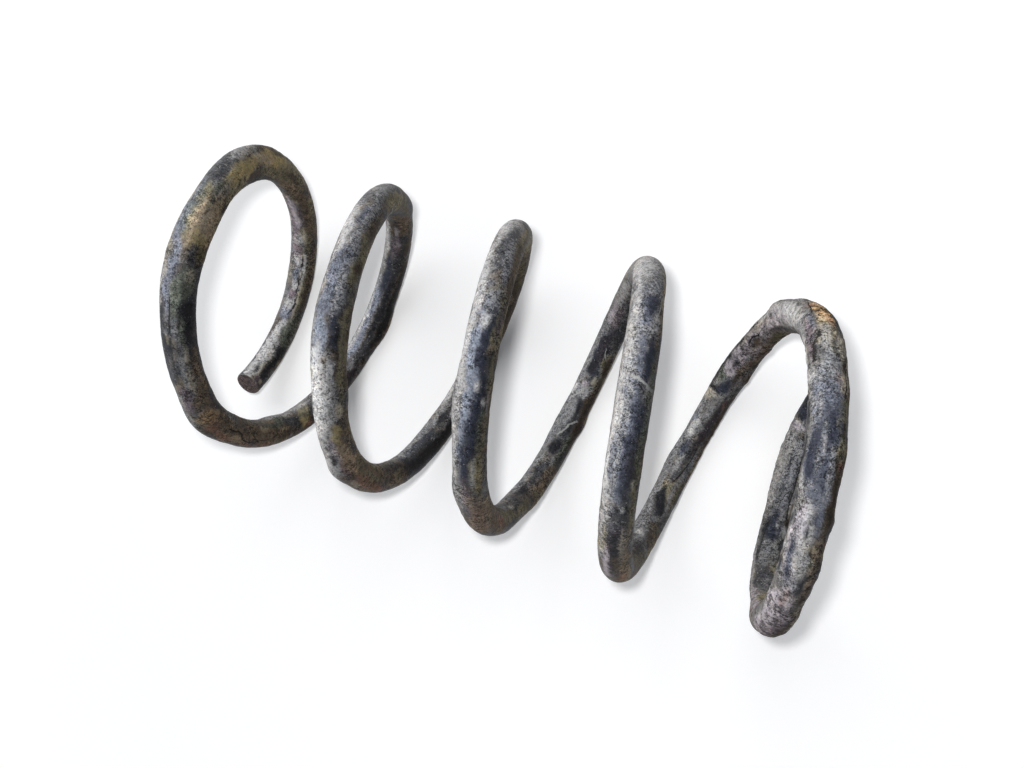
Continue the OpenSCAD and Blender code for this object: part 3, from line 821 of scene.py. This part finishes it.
studio = {
    "floorSize": 6.0,
    "floorSeen": (0.80, 0.80, 0.80, 1.0),     # the floor as the camera sees it
    "glow": (0.07, 0.86),                     # its own white, near the spring and far off
    "glowReach": (0.02, 0.65),                # metres from its centre over which it grows
    "glowCentre": (-0.03, 0.03, 0.0),
    "floorBounce": (0.48, 0.41, 0.33, 1.0),   # the floor as it lights the spring from below
    "sky": (0.86, 0.90, 1.0, 1.0), "skyStrength": 0.22,
    "keyPlace": (-0.76, 0.12, 0.84), "keyAim": (0.0, 0.0, 0.06), "keySize": 0.75, "keyPower": 16.0,
    "shadePlace": (-0.36, 0.44, 0.82), "shadeAim": (0.0, 0.0, 0.0), "shadeSize": 0.9, "shadePower": 4.8,
    "topOffset": (-0.018, 0.017, 0.0),        # from the camera, to its left and upwards
    "topSize": 0.022, "topPower": 1.02,
    "eye": (0.06187, -0.00891, 0.39739), "eyeTurn": (4.279, 9.228, 18.112),     # metres, degrees
    "lens": 27.23, "sensor": 36.0,            # millimetres
    "nearest": 0.01,                          # metres from the camera at which things show
}


def cameraWhite(tree):
    # 1 for what the camera sees straight, in a reflection or through glass
    paths = addNode(tree, "ShaderNodeLightPath", (-900, 300)).outputs
    first = mathOf(tree, "MAXIMUM", paths["Is Camera Ray"], paths["Is Glossy Ray"], (-700, 300))
    return mathOf(tree, "MAXIMUM", first, paths["Is Transmission Ray"], (-500, 300))


def floorMaterial():
    material, tree = emptyMaterial("paleFloor")
    spot = addNode(tree, "ShaderNodeTexCoord", (-900, -400)).outputs["Object"]
    fromCentre = addNode(tree, "ShaderNodeVectorMath", (-800, -400), {
        0: spot, 1: studio["glowCentre"]}, operation="SUBTRACT")
    away = addNode(tree, "ShaderNodeVectorMath", (-600, -400), {
        0: fromCentre.outputs[0]}, operation="LENGTH").outputs["Value"]
    growing = rangeOf(tree, away, studio["glowReach"], studio["glow"], "LINEAR", (-400, -400))
    glow = addNode(tree, "ShaderNodeEmission", (0, -400), {"Strength": growing})
    dim = addNode(tree, "ShaderNodeBsdfDiffuse", (0, -200), {"Color": studio["floorSeen"]})
    matt = addNode(tree, "ShaderNodeBsdfDiffuse", (0, 0), {"Color": studio["floorBounce"]})
    seen = addNode(tree, "ShaderNodeAddShader", (200, -300), {0: dim.outputs[0], 1: glow.outputs[0]})
    pick = addNode(tree, "ShaderNodeMixShader", (400, 0), {
        0: cameraWhite(tree), 1: matt.outputs[0], 2: seen.outputs[0]})
    addNode(tree, "ShaderNodeOutputMaterial", (600, 0), {0: pick.outputs[0]})
    return material


def floorSheet():
    bm = bmesh.new()
    bmesh.ops.create_grid(bm, x_segments=1, y_segments=1, size=studio["floorSize"] / 2)
    sheet = bpy.data.meshes.new("paleFloor")
    bm.to_mesh(sheet)
    bm.free()
    sheet.materials.append(floorMaterial())
    floor = bpy.data.objects.new("paleFloor", sheet)
    bpy.context.scene.collection.objects.link(floor)
    return floor


def areaLamp(name, place, target, size, power):
    lamp = bpy.data.lights.new(name, "AREA")
    lamp.shape = "DISK"
    lamp.size = size
    lamp.energy = power
    holder = bpy.data.objects.new(name, lamp)
    holder.location = place
    holder.rotation_euler = (Vector(target) - Vector(place)).to_track_quat("-Z", "Y").to_euler()
    holder.visible_camera = False
    bpy.context.scene.collection.objects.link(holder)
    return holder


def worldLight():
    world = bpy.data.worlds.new("softRoom")
    bpy.context.scene.world = world
    world.use_nodes = True
    tree = world.node_tree
    tree.nodes.clear()
    sky = addNode(tree, "ShaderNodeBackground", (0, 0), {
        "Color": studio["sky"], "Strength": studio["skyStrength"]})
    white = addNode(tree, "ShaderNodeBackground", (0, -200), {"Color": (1.0, 1.0, 1.0, 1.0)})
    pick = addNode(tree, "ShaderNodeMixShader", (300, 0), {
        0: cameraWhite(tree), 1: sky.outputs[0], 2: white.outputs[0]})
    addNode(tree, "ShaderNodeOutputWorld", (600, 0), {0: pick.outputs[0]})


floor = floorSheet()
worldLight()
eyeAngles = Euler([math.radians(a) for a in studio["eyeTurn"]])
eyeMatrix = eyeAngles.to_matrix()
topPlace = Vector(studio["eye"]) + eyeMatrix @ Vector(studio["topOffset"])
topAim = topPlace + eyeMatrix @ Vector((0.0, 0.0, -1.0))
keyLamp = areaLamp("softKey", studio["keyPlace"], studio["keyAim"], studio["keySize"], studio["keyPower"])
shadeLamp = areaLamp(
    "shadeLamp", studio["shadePlace"], studio["shadeAim"], studio["shadeSize"], studio["shadePower"])
topLamp = areaLamp("topLamp", topPlace, topAim, studio["topSize"], studio["topPower"])
# the key lights only the spring, and the two others only the floor
for name, lit, lamps in (
        ("springOnly", spring, [keyLamp]), ("floorOnly", floor, [shadeLamp, topLamp])):
    chosen = bpy.data.collections.new(name)
    chosen.objects.link(lit)
    for lamp in lamps:
        lamp.light_linking.receiver_collection = chosen

eye = bpy.data.cameras.new("viewEye")
eye.lens = studio["lens"]
eye.sensor_width = studio["sensor"]
eye.clip_start = studio["nearest"]
eyeHolder = bpy.data.objects.new("viewEye", eye)
eyeHolder.location = studio["eye"]
eyeHolder.rotation_euler = eyeAngles
bpy.context.scene.collection.objects.link(eyeHolder)
bpy.context.scene.camera = eyeHolder
bpy.context.scene.view_settings.view_transform = "Standard"
print("studio set")
